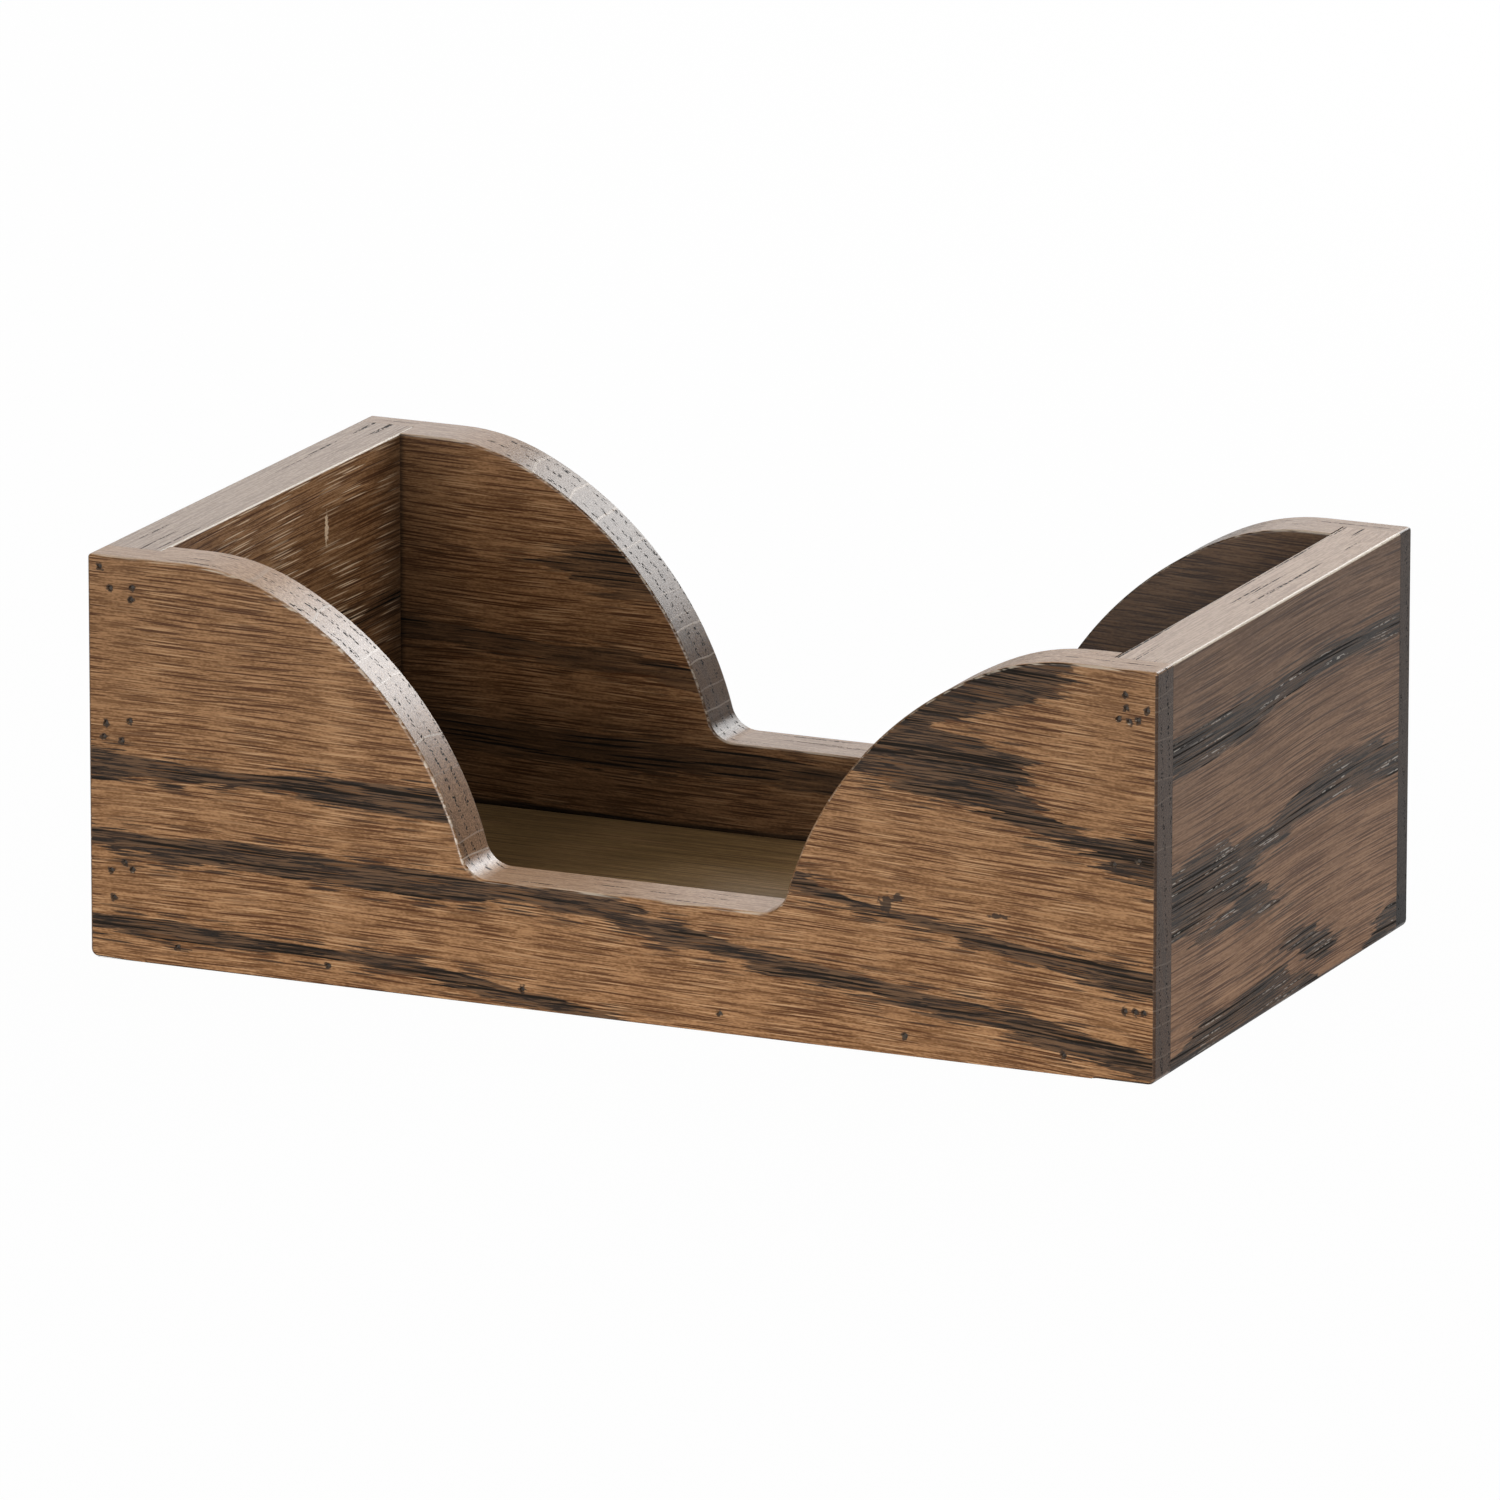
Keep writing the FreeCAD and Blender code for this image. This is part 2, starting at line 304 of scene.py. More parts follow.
# a pair is where a mask goes from none to full, and a single number is a share, unless a note says otherwise
oakStain = {
    "fibre": (0.38, 0.62),
    "gritInFibre": 0.3,
    "mottle": (0.3, 0.7),
    "mottleShare": 0.14,
    "rays": 0.9,
    "fringe": (-4.5, -0.2),        # mm outside a band
    "bandEdge": (-0.15, 0.2),
    "streakGate": 0.48,
    "streakRise": 0.06,            # how much higher the gate is at streakDepth mm inside a band
    "streakDepth": 3.0,
    "streakEdge": 0.06,
    "bandStreaks": 0.8,
    "bandRays": 0.7,
    "bandGlints": 0.8,
    "bandOnEnds": 0.3,
    "bandOnLevel": 0.15,
    "levelDark": (0.42, 0.25, 0.14),
    "levelLight": (0.60, 0.39, 0.24),
    "levelShare": 0.85,
    "ring": (-0.35, 0.05),         # mm inside the rings below the show face
    "plainPores": 0.04,            # pores outside the bands and rings
    "poreGrit": (0.36, 0.44),
    "endRing": (-0.3, 0.0),
    "flatEndPores": 0.15,
    "endPoreTone": (0.4, 0.4, 0.4),
    "crossRay": (0.50, 0.39, 0.30),
    "crossRays": 0.8,
    "flatEndCrossRays": 0.12,
    # colour of the painted highlight along eased upper edges
    "paintedHighlight": (0.82, 0.70, 0.55),
    "marks": 0.85,
    "roughness": (0.5, 0.42),      # of dark and of light fibre
    "poreRoughness": 0.3,          # added to it
    "flatEndCoat": 0.3,
    "poreCoat": 0.08,
    "fibreHeight": (0.6, 0.8),     # the other heights are added to it
    "poreHeight": -0.6,
    "streakHeight": 0.35,
    "rayHeight": -0.15,
    "crossRayHeight": 0.6,
}


def buildOakStain(s):
    # colour, gloss and relief of the stained, lacquered surface, from the figure's masks, with painted shade,
    # painted glints and a painted highlight laid over the colour
    tree, given, result = newGroup(
        "oakStain",
        {**dict.fromkeys(("Depth", "Deep", "Fibre", "Rays", "CrossRays", "Fringe", "Pores", "EndPores",
                          "Mottle", "Streaks", "Grit", "Glints", "Flecks", "Marks", "EndGrain", "FlatEnd",
                          "Level", "Worn", "Shade", "Strength", "FaceCoat", "EndCoat", "LevelCoat"), "Float"),
         **dict.fromkeys(("EndTone", "FlatTone", "LevelTone", "Light", "DeepTan", "Glint", "Ray", "Brown",
                          "Dark", "Pore", "Fleck", "Mark"), "Color")},
        {"Colour": "Color", "Roughness": "Float", "Coat": "Float", "Height": "Float"})
    face = maths(tree, "SUBTRACT", 1.0, given["EndGrain"])
    unlevel = maths(tree, "SUBTRACT", 1.0, given["Level"])
    upright = maths(tree, "MULTIPLY", face, unlevel)
    fibre = maths(tree, "SUBTRACT", given["Grit"], 0.5)
    fibre = maths(tree, "MULTIPLY_ADD", fibre, s["gritInFibre"], given["Fibre"])
    fine = between(tree, fibre, *s["fibre"], smooth=False)
    broad = between(tree, given["Mottle"], *s["mottle"])
    tone = maths(tree, "MULTIPLY", broad, s["mottleShare"])
    tone = maths(tree, "MULTIPLY_ADD", fine, 1 - s["mottleShare"], tone)

    ground = tint(tree, tone, given["DeepTan"], given["Light"])
    ground = tint(tree, maths(tree, "MULTIPLY", given["Glints"], upright), ground, given["Glint"])
    rays = maths(tree, "MULTIPLY", given["Rays"], upright)
    ground = tint(tree, maths(tree, "MULTIPLY", rays, s["rays"]), ground, given["Ray"])
    fringe = maths(tree, "MULTIPLY", given["Fringe"], between(tree, given["Depth"], *s["fringe"]))
    fringe = maths(tree, "MULTIPLY", fringe, given["Strength"])
    ground = tint(tree, maths(tree, "MULTIPLY", fringe, upright), ground, given["Dark"])

    inBand = between(tree, given["Depth"], *s["bandEdge"])
    dark = tint(tree, fine, given["Pore"], given["Dark"])
    gate = between(tree, given["Depth"], 0.0, s["streakDepth"])
    gate = maths(tree, "MULTIPLY_ADD", gate, s["streakRise"], s["streakGate"])
    streaks = between(tree, maths(tree, "SUBTRACT", given["Streaks"], gate), 0.0, s["streakEdge"])
    dark = tint(tree, maths(tree, "MULTIPLY", streaks, s["bandStreaks"]), dark, given["Brown"])
    dark = tint(tree, maths(tree, "MULTIPLY", given["Rays"], s["bandRays"]), dark, given["Brown"])
    dark = tint(tree, maths(tree, "MULTIPLY", given["Glints"], s["bandGlints"]), dark, given["DeepTan"])
    filled = maths(tree, "MULTIPLY", inBand, scaleTo(tree, face, s["bandOnEnds"], 1.0))
    filled = maths(tree, "MULTIPLY", filled, scaleTo(tree, given["Level"], 1.0, s["bandOnLevel"]))
    filled = maths(tree, "MULTIPLY", filled, given["Strength"])
    colour = tint(tree, filled, ground, dark)

    levelColour = tint(tree, fine, s["levelDark"], s["levelLight"])
    levelColour = tint(tree, 1.0, levelColour, given["LevelTone"], "MULTIPLY")
    colour = tint(tree, maths(tree, "MULTIPLY", given["Level"], s["levelShare"]), colour, levelColour)

    ringed = between(tree, given["Deep"], *s["ring"])
    ringed = maths(tree, "MAXIMUM", maths(tree, "MULTIPLY", inBand, upright), ringed)
    poreShare = maths(tree, "MULTIPLY", given["Pores"], scaleTo(tree, ringed, s["plainPores"], 1.0))
    patchy = maths(tree, "MAXIMUM", unlevel, between(tree, given["Grit"], *s["poreGrit"]))
    poreShare = maths(tree, "MULTIPLY", poreShare, patchy)
    holes = maths(tree, "MULTIPLY", given["EndPores"], between(tree, given["Deep"], *s["endRing"]))
    holes = maths(tree, "MULTIPLY", holes, scaleTo(tree, given["FlatEnd"], 1.0, s["flatEndPores"]))
    poreShare = maths(tree, "MAXIMUM", poreShare, maths(tree, "MULTIPLY", holes, given["EndGrain"]))
    colour = tint(tree, poreShare, colour, given["Pore"])

    endTone = tint(tree, poreShare, given["EndTone"], s["endPoreTone"])
    endColour = tint(tree, 1.0, colour, endTone, "MULTIPLY")
    colour = tint(tree, given["EndGrain"], colour, endColour)
    flatColour = tint(tree, 1.0, colour, given["FlatTone"], "MULTIPLY")
    colour = tint(tree, given["FlatEnd"], colour, flatColour)
    crossRays = maths(tree, "MULTIPLY", given["CrossRays"], given["EndGrain"])
    crossShare = scaleTo(tree, given["FlatEnd"], s["crossRays"], s["flatEndCrossRays"])
    crossRays = maths(tree, "MULTIPLY", crossRays, crossShare)
    colour = tint(tree, crossRays, colour, s["crossRay"])

    # painted shade from shadeMask
    shade = joinXyz(tree, given["Shade"], given["Shade"], given["Shade"])
    colour = tint(tree, 1.0, colour, shade, "MULTIPLY")
    # painted glints, laid on after the painted shade
    colour = tint(tree, maths(tree, "MULTIPLY", given["Flecks"], upright), colour, given["Fleck"])
    # painted highlight along eased edges that face up
    colour = tint(tree, given["Worn"], colour, s["paintedHighlight"])
    colour = tint(tree, maths(tree, "MULTIPLY", given["Marks"], s["marks"]), colour, given["Mark"])
    feed(tree, result["Colour"], colour)

    roughness = scaleTo(tree, fine, *s["roughness"])
    feed(tree, result["Roughness"], maths(tree, "MULTIPLY_ADD", poreShare, s["poreRoughness"], roughness))

    gain = maths(tree, "SUBTRACT", given["EndCoat"], given["FaceCoat"])
    coat = maths(tree, "MULTIPLY_ADD", given["EndGrain"], gain, given["FaceCoat"])
    gain = maths(tree, "SUBTRACT", given["LevelCoat"], coat)
    coat = maths(tree, "MULTIPLY_ADD", given["Level"], gain, coat)
    coat = maths(tree, "MULTIPLY", coat, scaleTo(tree, given["FlatEnd"], 1.0, s["flatEndCoat"]))
    feed(tree, result["Coat"], maths(tree, "MULTIPLY", coat, scaleTo(tree, poreShare, 1.0, s["poreCoat"])))

    relief = scaleTo(tree, fine, *s["fibreHeight"])
    relief = maths(tree, "MULTIPLY_ADD", poreShare, s["poreHeight"], relief)
    relief = maths(tree, "MULTIPLY_ADD", maths(tree, "MULTIPLY", inBand, streaks), s["streakHeight"], relief)
    relief = maths(tree, "MULTIPLY_ADD", rays, s["rayHeight"], relief)
    relief = maths(tree, "MULTIPLY_ADD", crossRays, s["crossRayHeight"], relief)
    feed(tree, result["Height"], relief)
    return tree


figureGroup = buildOakFigure(oakFigure)
stainGroup = buildOakStain(oakStain)

markEdge = {
    "edge": (1.15, 0.75),          # in half sizes from a mark's middle
    "ragged": 1.1,
    "raggedPerMm": (0.9, 0.9, 1.3),
    "depth": (2.0, 1.0),           # mm below the show face
}


def markMask(tree, point, marks):
    # 1 in small places given as (mm along, mm up, half length, half height)
    x, y, z = splitXyz(tree, point)
    flat = joinXyz(tree, x, 0.0, z)
    away = 9.0                     # half sizes: no mark is near
    for markX, markZ, halfLength, halfHeight in marks:
        off = vectorMaths(tree, "SUBTRACT", flat, (markX, 0.0, markZ))
        off = vectorMaths(tree, "MULTIPLY", off, (1 / halfLength, 1.0, 1 / halfHeight))
        away = maths(tree, "MINIMUM", away, lengthOf(tree, off))
    ragged = noise(tree, point, markEdge["raggedPerMm"], 1.0)
    away = maths(tree, "ADD", away, scaleTo(tree, ragged, -markEdge["ragged"], markEdge["ragged"]))
    shallow = between(tree, y, *markEdge["depth"])
    return maths(tree, "MULTIPLY", between(tree, away, *markEdge["edge"]), shallow)


# how far the surface faces a way, from none of a mask to all of it
facings = {
    "level": (0.75, 0.93),
    "end": (0.2, 0.5),
    "flatEnd": (0.955, 0.985),
    "plumb": (0.14, 0.06),
    "eased": (0.12, 0.3),
    "uneased": (0.98, 0.86),
    "upwards": (0.05, 0.2),
    "face": (0.5, 0.9),
    "left": (-0.2, -0.5),
    "under": (-0.15, -0.5),
}

# what a board has unless its own figure says otherwise
plainBoard = {
    "squeeze": 1.0,                # below 1, the marks are longer along the grain
    "ringShift": 0.0,
    "rings": True,
    "strength": 1.0,               # of the bands
    "clear": [],
    "shade": (1.0, 1.0),           # at the foot and at the top
    "shadeTop": 84.0,              # mm up the board
    "corners": [],
    "underShade": 0.35,
    "patchy": (0.45, 0.6),
    # strength of the painted highlight along eased upper edges
    "paintedHighlight": 0.0,
    "levelTone": None,
    "levelCoat": 0.6,
    "endTone": (0.5, 0.5, 0.5),
    "endCoat": 0.8,
    "flatTone": (0.42, 0.40, 0.40),
    "faceCoat": 0.7,
    "coatIor": 1.5,
    "coatRoughness": 0.25,
    "specular": 0.15,
    "relief": 0.5,
    "reliefDepth": 0.2 * mm,
    "farSide": (5.0, 8.0),         # mm into the board
    "leftCoat": 0.35,              # ends and edges that face left have less of each of these
    "leftWorn": 0.2,
    "leftFlatEnd": 0.45,
    "paintedGlints": None,                # where painted glints begin and are full, up and along
    "pale": None,                  # marks, as markMask takes them
    "bandFlecks": None,            # how strong they are in the bands
    "bandGlintDepth": (0.2, 0.8),  # mm inside a band
    "bandGlintGrit": (0.46, 0.56),
}


def sideMasks(tree, figure, normal, y, board):
    # which side or edge of the board the surface is, from the way it faces
    facing = splitXyz(tree, normal)
    tilt = maths(tree, "ABSOLUTE", facing[board["grainAxis"]])
    across = maths(tree, "ABSOLUTE", facing[1 - board["grainAxis"]])
    level = between(tree, facing[2], *facings["level"]) if board["levelTone"] else 0.0
    # painted highlight: eased edges that face up, in patches
    paintedHighlight = between(tree, across, *facings["eased"])
    paintedHighlight = maths(tree, "MULTIPLY", paintedHighlight, between(tree, across, *facings["uneased"]))
    paintedHighlight = maths(tree, "MULTIPLY", paintedHighlight, between(tree, facing[2], *facings["upwards"]))
    patchy = between(tree, figure["Feather"], *board["patchy"])
    paintedHighlight = maths(tree, "MULTIPLY", paintedHighlight, maths(tree, "MULTIPLY", patchy, board["paintedHighlight"]))
    farSide = between(tree, across, *facings["face"])
    farSide = maths(tree, "MULTIPLY", farSide, between(tree, y, *board["farSide"]))
    endGrain = between(tree, tilt, *facings["end"])
    plumb = between(tree, maths(tree, "ABSOLUTE", facing[2]), *facings["plumb"])
    flatEnd = between(tree, tilt, *facings["flatEnd"])
    flatEnd = maths(tree, "MAXIMUM", flatEnd, maths(tree, "MULTIPLY", endGrain, plumb))
    endCoat = board["endCoat"]
    leftEnd = 0.0
    if board["grainAxis"] == 0:
        turnedLeft = between(tree, facing[0], *facings["left"])
        endCoat = scaleTo(tree, turnedLeft, endCoat, board["leftCoat"] * endCoat)
        paintedHighlight = maths(tree, "MULTIPLY", paintedHighlight, scaleTo(tree, turnedLeft, 1.0, board["leftWorn"]))
        leftEnd = maths(tree, "MULTIPLY", flatEnd, turnedLeft)
        flatEnd = maths(tree, "MULTIPLY_ADD", leftEnd, board["leftFlatEnd"] - 1.0, flatEnd)
    unshaded = maths(tree, "MAXIMUM", maths(tree, "MAXIMUM", level, farSide), leftEnd)
    under = between(tree, facing[2], *facings["under"])
    return {"level": level, "paintedHighlight": paintedHighlight, "farSide": farSide, "endGrain": endGrain, "flatEnd": flatEnd,
            "endCoat": endCoat, "unshaded": unshaded, "under": under}


def paintedGlintMask(tree, figure, point, depth, farSide, board):
    # painted glints: pale spots in part of a face, in the bands, and where pale marks are given
    x, _, z = splitXyz(tree, point)
    paintedGlints = 0.0
    if board["paintedGlints"]:
        paintedGlints = maths(tree, "MULTIPLY", figure["Flecks"], between(tree, z, *board["paintedGlints"]["up"]))
        paintedGlints = maths(tree, "MULTIPLY", paintedGlints, between(tree, x, *board["paintedGlints"]["along"]))
    if board["bandFlecks"]:
        glossy = maths(tree, "MULTIPLY", figure["Flecks"], between(tree, depth, *board["bandGlintDepth"]))
        glossy = maths(tree, "MULTIPLY", glossy, between(tree, figure["Grit"], *board["bandGlintGrit"]))
        paintedGlints = maths(tree, "MAXIMUM", paintedGlints, maths(tree, "MULTIPLY", glossy, board["bandFlecks"]))
    if board["pale"]:
        paintedGlints = maths(tree, "MAXIMUM", paintedGlints, markMask(tree, point, board["pale"]))
    return maths(tree, "MULTIPLY", paintedGlints, maths(tree, "SUBTRACT", 1.0, farSide))


def shadeMask(tree, point, sides, board):
    # colour made darker or lighter up the show face and in its corners: painted shade in the inner corners,
    # along the floor's joint, on faces that look down and low on the inner faces, with some darker stain
    # there too; on the outer faces a tone that changes up the board
    x, _, z = splitXyz(tree, point)
    shade = scaleTo(tree, between(tree, z, 0.0, board["shadeTop"], smooth=False), *board["shade"])
    # painted shade on faces that look down
    shade = maths(tree, "MULTIPLY", shade, scaleTo(tree, sides["under"], 1.0, board["underShade"]))
    for axis, start, end, share in board["corners"]:
        clear = between(tree, z if axis == "up" else x, start, end)
        shade = maths(tree, "MULTIPLY", shade, scaleTo(tree, clear, share, 1.0))
    lacking = maths(tree, "SUBTRACT", 1.0, shade)
    return maths(tree, "ADD", shade, maths(tree, "MULTIPLY", sides["unshaded"], lacking))


stainColours = {
    "Light": (0.400, 0.212, 0.096),
    "DeepTan": (0.165, 0.074, 0.026),
    "Glint": (0.500, 0.290, 0.145),
    "Ray": (0.070, 0.022, 0.005),
    "Brown": (0.145, 0.079, 0.040),
    "Dark": (0.034, 0.018, 0.010),
    "Pore": (0.012, 0.008, 0.005),
    # colour of the painted glints
    "Fleck": (0.900, 0.680, 0.460),
    "Mark": (0.030, 0.020, 0.014),
}

rightColours = {
    **stainColours,
    "Light": (0.350, 0.190, 0.098),
    "DeepTan": (0.200, 0.100, 0.048),
    "Glint": (0.420, 0.236, 0.128),
    "Ray": (0.085, 0.032, 0.012),
    # colour of the painted glints in the bands
    "Fleck": (0.700, 0.640, 0.560),
}

floorColours = {
    **stainColours,
    "Light": (0.380, 0.240, 0.098),
    "DeepTan": (0.220, 0.134, 0.054),
    "Ray": (0.130, 0.078, 0.032),
}


def makeOak(name, ownFigure, colours, marks=()):
    board = {**plainBoard, **ownFigure}
    material = bpy.data.materials.new(name)
    material.use_nodes = True
    tree = material.node_tree
    shader = tree.nodes["Principled BSDF"]
    place = tree.nodes.new("ShaderNodeTexCoord")
    mapping = tree.nodes.new("ShaderNodeMapping")
    mapping.inputs["Scale"].default_value = (1 / mm, 1 / mm, 1 / mm)
    mapping.inputs["Rotation"].default_value = [math.radians(turn) for turn in board["turn"]]
    mapping.inputs["Location"].default_value = board["origin"]
    tree.links.new(place.outputs["Object"], mapping.inputs["Vector"])
    point = mapping.outputs["Vector"]
    x, y, _ = splitXyz(tree, point)
    run = edgeLine(tree, x, board["run"], board["reach"])
    figure = useGroup(tree, figureGroup, Point=point, Run=run, Seed=board["seed"], Squeeze=board["squeeze"],
                      RingShift=board["ringShift"])
    depth = depthInBands(tree, figure, board, y)
    sides = sideMasks(tree, figure, place.outputs["Normal"], y, board)
    glintsPainted = board["paintedGlints"] or board["bandFlecks"] or board["pale"]
    passed = {label: figure[label] for label in ("Fibre", "Rays", "CrossRays", "Glints", "Fringe", "Pores",
                                                 "EndPores", "Mottle", "Streaks", "Grit")}
    stain = useGroup(
        tree, stainGroup, **passed, Depth=depth, Deep=figure["Deep"] if board["rings"] else noBand,
        Flecks=paintedGlintMask(tree, figure, point, depth, sides["farSide"], board) if glintsPainted else 0.0,
        Marks=markMask(tree, point, marks) if marks else 0.0,
        EndGrain=sides["endGrain"], FlatEnd=sides["flatEnd"], Level=sides["level"], Worn=sides["paintedHighlight"],
        Shade=shadeMask(tree, point, sides, board), Strength=board["strength"],
        FaceCoat=board["faceCoat"], EndCoat=sides["endCoat"], LevelCoat=board["levelCoat"],
        EndTone=rgba(board["endTone"]), FlatTone=rgba(board["flatTone"]),
        LevelTone=rgba(board["levelTone"] or (1.0, 1.0, 1.0)),
        **{label: rgba(colour) for label, colour in colours.items()})
    tree.links.new(stain["Colour"], shader.inputs["Base Color"])
    tree.links.new(stain["Roughness"], shader.inputs["Roughness"])
    tree.links.new(stain["Coat"], shader.inputs["Coat Weight"])
    shader.inputs["Coat Roughness"].default_value = board["coatRoughness"]
    shader.inputs["Coat IOR"].default_value = board["coatIor"]
    shader.inputs["Specular IOR Level"].default_value = board["specular"]
    bump = tree.nodes.new("ShaderNodeBump")
    bump.inputs["Strength"].default_value = board["relief"]
    bump.inputs["Distance"].default_value = board["reliefDepth"]
    tree.links.new(stain["Height"], bump.inputs["Height"])
    tree.links.new(bump.outputs["Normal"], shader.inputs["Normal"])
    return material


# lines are (mm along the grain from the board's left or front end, mm up the board); a band goes
# right through the board unless reachIn says how many mm, knots are marks as markMask takes them, and
# corners are painted shade given as (way, mm where it is darkest, mm where it is plain, share of the light
# left)
frontFigure = {
    "turn": (0, 0, 0),
    "shade": (1.18, 0.83),
    "faceCoat": 0.10,
    "coatIor": 1.7,
    "levelTone": (1.12, 1.05, 0.97),
    "levelCoat": 0.38,
    "paintedHighlight": 0.55,
    "endTone": (0.90, 0.92, 0.93),
    "flatTone": (0.24, 0.22, 0.22),
    "endCoat": 1.0,
    "origin": (117.5, 66.5, 0.0),
    "reach": 235.0,
    "grainAxis": 0,
    "seed": (0.0, 0.0, 0.0),
    "run": [(0, 50), (78, 49.7), (117, 49), (170, 47.5), (235, 45)],
    "bands": [
        {"upper": [(0, 44.3), (20, 42.8), (35, 42.3), (50, 43.0), (78, 43.8), (90, 43.5), (140, 38),
                   (157, 35.5), (167, 32.2), (192, 27.4), (215, 24.6), (235, 23.2)],
         "lower": [(0, 37.8), (20, 38.6), (30, 39.3), (42, 39.2), (50, 38.3), (70, 37.3), (90, 36.5),
                   (140, 34), (157, 31.2), (177, 28.0), (200, 23.9), (222, 19.2), (235, 17.2)]},
        {"upper": [(0, 27.5), (17, 26.7), (33, 27.5), (50, 26.7), (83, 25.5), (117, 25.0), (127, 22.2),
                   (142, 19.2), (158, 16.7), (175, 14.5), (192, 12.8), (208, 10.8), (222, 8.3),
                   (235, 5.6)],
         "lower": [(0, 23.8), (17, 21.7), (33, 22.5), (50, 21.2), (83, 20.8), (100, 21.7), (117, 20.0),
                   (127, 17.5), (142, 15.5), (158, 12.5), (175, 10.8), (192, 8.3), (208, 5.8),
                   (222, 3.3), (235, 0.6)]},
        {"upper": [(0, 9.2), (30, 8.8), (42, 7.8), (67, 7.5), (80, 6.2), (93, 4.5), (107, 2.5),
                   (117, 0.8), (125, -1.0), (235, -20)],
         "lower": [(0, 5.5), (33, 4.5), (50, 5.5), (67, 4.5), (80, 3.3), (93, 1.3), (107, 0.0),
                   (117, -2.0), (125, -4.0), (235, -24)]},
        {"upper": [(0, 98), (196, 98), (204, 90), (207, 60), (211, 54), (215, 51.7), (223, 49.2),
                   (235, 50)],
         "lower": [(0, 140), (100, 120), (122, 84), (134, 64), (150, 60), (167, 57.5), (183, 54.2),
                   (195, 53.3), (202, 50.8), (212, 48.3), (220, 45.8), (227, 41.7), (235, 40)],
         "torn": 12.0, "crisp": 5.0, "reachIn": 6.0,
         "thin": [(0, 0.3), (150, 0.5), (175, 1.0), (190, 2.5), (200, 6), (212, 6), (235, 3)]},
        {"upper": [(0, 98), (235, 98)],
         "lower": [(0, 140), (184, 120), (196, 77), (205, 75), (211, 77), (214, 81.5), (220, 85),
                   (224, 98), (235, 120)],
         "torn": 5.0, "crisp": 2.0, "reachIn": 6.0},
    ],
    "knots": [(176.8, 30.9, 1.4, 1.7), (179.3, 32.3, 1.2, 1.0), (201.0, 31.0, 2.6, 0.5)],
    "clear": [
        {"upper": [(0, 60), (180, 62), (187, 68.9), (197, 71.8), (205, 73.5), (235, 75)],
         "lower": [(0, 66), (180, 67.5), (187, 67.6), (197, 66.3), (208, 64.5), (235, 63)], "torn": 3.0},
    ],
}

backFigure = {
    "turn": (0, 0, 0),
    "strength": 0.62,
    # shade and corners paint shade, with some darker stain, on the inner face: low down, in the corners,
    # along the seam and the floor's joint, and towards both ends
    "shade": (0.90, 1.22),
    "paintedHighlight": 0.5,
    "corners": [("along", 13.0, 36.0, 0.62), ("along", 12.7, 14.2, 0.35),
                ("up", 7.1, 8.0, 0.2), ("along", 62.0, 95.0, 0.72), ("up", 24.0, 36.0, 0.70),
                ("along", 168.0, 140.0, 0.27)],
    "levelTone": (0.90, 0.84, 0.77),
    "endTone": (0.46, 0.47, 0.48),
    "flatTone": (0.95, 0.86, 0.80),
    "endCoat": 0.82,
    "origin": (117.5, -53.8, 0.0),
    "reach": 235.0,
    "grainAxis": 0,
    "seed": (310.0, 40.0, 120.0),
    "run": [(0, 50), (80, 49), (160, 48.5), (235, 47.5)],
    "bands": [
        {"upper": [(0, 46), (33, 44), (50, 42.5), (67, 43), (80, 40), (120, 38), (160, 42), (235, 38)],
         "lower": [(0, 41), (33, 40), (50, 38), (67, 38), (80, 35.5), (120, 33), (160, 37), (235, 33)]},
        {"upper": [(0, 27), (20, 26), (60, 24.5), (100, 23.5), (120, 22.5), (160, 21), (235, 17)],
         "lower": [(0, 19), (20, 18.5), (60, 17.5), (100, 18), (120, 17.5), (160, 16), (235, 12)]},
        {"upper": [(0, 60), (40, 60), (52, 64), (60, 66), (75, 66), (110, 70), (150, 84), (165, 95),
                   (235, 95)],
         "lower": [(0, 62), (40, 61), (52, 58), (60, 54.5), (75, 54), (110, 60), (150, 64), (164, 90),
                   (172, 110), (235, 120)], "reachIn": 7.0},
        {"upper": [(0, 8), (60, 7.5), (110, 6), (235, 2)],
         "lower": [(0, 4), (60, 3), (110, 1), (235, -3)]},
    ],
}

